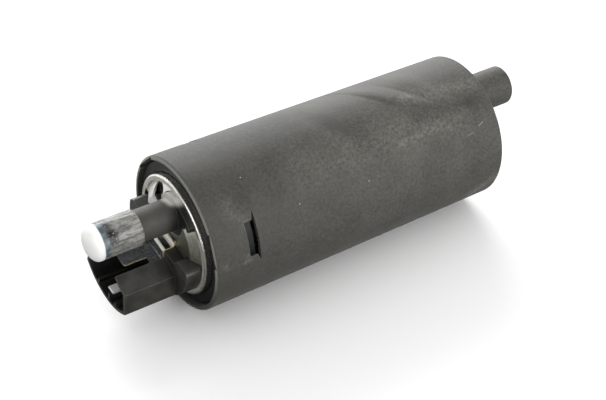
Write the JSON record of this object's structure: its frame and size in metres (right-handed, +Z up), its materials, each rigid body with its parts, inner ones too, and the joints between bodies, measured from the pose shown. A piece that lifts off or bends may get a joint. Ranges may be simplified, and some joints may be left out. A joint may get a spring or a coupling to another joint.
{
  "type": "in-tank fuel pump in a rubber sleeve",
  "caption": "Electric in-tank fuel pump in a grey rubber sleeve, lying on its side, with a keyed plug socket, a capped outlet nozzle and an offset inlet spigot.",
  "frame": {"origin": "on the axis of the sleeve, in the plane of its open front face", "axes": "+X along the pump's axis towards the inlet spigot, +Z up as it lies, -Y towards the viewer; the nozzle leans 14 degrees off +Z towards -Y"},
  "size_m": [0.1525, 0.049, 0.049],
  "materials": {
    "sleeve_rubber": "matte",
    "isolator_rubber": "gloss",
    "seal_rubber": "satin",
    "shell_steel": "bright drawn",
    "zinc_plate": "zinc plated",
    "black_moulding": "satin",
    "tinned_brass": "tin plated",
    "clear_cap": "translucent",
    "valve_plastic": "satin",
    "spring_steel": "satin",
    "bush_bronze": "sintered",
    "carbon": "matte",
    "core_steel": "laminated",
    "enamelled_copper": "enamelled",
    "ferrite": "ground",
    "die_cast": "ground",
    "impeller_plastic": "moulded"
  },
  "bodies": {
    "pump": {"outer_sleeve": "sleeve_rubber", "front_isolator": "isolator_rubber", "rear_isolator": "isolator_rubber", "inlet_o_ring": "seal_rubber", "pump_shell": "shell_steel", "end_plate": "zinc_plate", "outlet_cover": "black_moulding", "cover_o_ring": "seal_rubber", "earth_terminal": "tinned_brass", "supply_terminal": "tinned_brass", "check_valve_spring": "spring_steel", "check_valve_retainer": "valve_plastic", "relief_spring": "spring_steel", "relief_plug": "tinned_brass", "brush_spring_near": "spring_steel", "brush_spring_far": "spring_steel", "front_bush": "bush_bronze", "rear_bush": "bush_bronze", "thrust_button": "valve_plastic", "magnet_upper": "ferrite", "magnet_lower": "ferrite", "magnet_clip_near": "spring_steel", "magnet_clip_far": "spring_steel", "port_plate": "die_cast", "pump_ring": "die_cast", "inlet_cover": "die_cast"},
    "rotor": {"shaft": "spring_steel", "thrust_washer": "valve_plastic", "commutator": "carbon", "armature_core": "core_steel", "windings": "enamelled_copper", "impeller": "impeller_plastic"},
    "check_valve_body": {"check_valve": "valve_plastic"},
    "relief_ball_body": {"relief_ball": "spring_steel"},
    "brush_near_body": {"brush_near": "carbon"},
    "brush_far_body": {"brush_far": "carbon"},
    "dust_cap_body": {"dust_cap": "clear_cap"}
  },
  "joints": [
    {"name": "rotor_spin", "type": "hinge", "parent": "pump", "child": "rotor", "pos_m": [0.0445, 0, 0], "axis": [1, 0, 0], "continuous": true},
    {"name": "check_valve_lift", "type": "slide", "parent": "pump", "child": "check_valve_body", "axis": [-1, 0, 0], "range_m": [0, 0.002], "stiffness_N_per_m": 120, "springref_m": -0.002, "deforming": ["check_valve_spring"]},
    {"name": "relief_valve_lift", "type": "slide", "parent": "pump", "child": "relief_ball_body", "axis": [-1, 0, 0], "range_m": [0, 0.0012], "stiffness_N_per_m": 900, "springref_m": -0.002, "deforming": ["relief_spring"]},
    {"name": "brush_near_travel", "type": "slide", "parent": "pump", "child": "brush_near_body", "axis": [-1, 0, 0], "range_m": [0, 0.003], "stiffness_N_per_m": 150, "springref_m": -0.003, "deforming": ["brush_spring_near"]},
    {"name": "brush_far_travel", "type": "slide", "parent": "pump", "child": "brush_far_body", "axis": [-1, 0, 0], "range_m": [0, 0.003], "stiffness_N_per_m": 150, "springref_m": -0.003, "deforming": ["brush_spring_far"]},
    {"name": "dust_cap_pull", "type": "slide", "parent": "pump", "child": "dust_cap_body", "axis": [-1, 0, 0], "range_m": [0, 0.035]}
  ]
}
